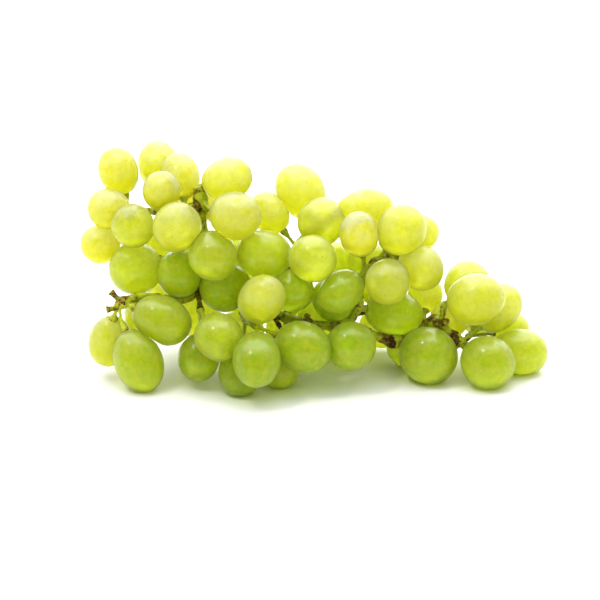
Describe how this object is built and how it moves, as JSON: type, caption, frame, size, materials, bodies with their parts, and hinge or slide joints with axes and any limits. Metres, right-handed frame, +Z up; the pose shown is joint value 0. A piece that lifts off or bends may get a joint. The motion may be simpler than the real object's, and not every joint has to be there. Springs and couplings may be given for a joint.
{
  "type": "bunch of grapes",
  "caption": "Bunch of large pale green table grapes lying on its side, with its cut stem and side stems among the berries.",
  "frame": {"origin": "middle of the bunch's box, on the surface that it lies on", "axes": "+X along the bunch from its shoulders to its tip, +Y from its open front towards its back, +Z up"},
  "size_m": [0.2056, 0.1056, 0.0956],
  "materials": {
    "grape_skin": "Thin, taut, translucent yellow-green grape skin with a soft waxy bloom and faint veins",
    "stalk_wood": "Green to brown young vine wood, dull, ribbed and warty, with dark dry ends"
  },
  "bodies": {
    "root": {"stalk": "stalk_wood", "berries_wing_tip": "grape_skin", "berries_wing_top": "grape_skin", "berries_shoulder": "grape_skin", "berries_left_foot": "grape_skin", "berries_left_heart": "grape_skin", "berries_low_front": "grape_skin", "berries_belly": "grape_skin", "berries_keel": "grape_skin", "berries_crown": "grape_skin", "berries_right_shoulder": "grape_skin", "berries_right_heart": "grape_skin", "berries_right_low": "grape_skin", "berries_tip_top": "grape_skin", "berries_tip_end": "grape_skin", "berries_back_left": "grape_skin", "berries_back_middle": "grape_skin", "berries_back_right": "grape_skin"}
  },
  "joints": []
}
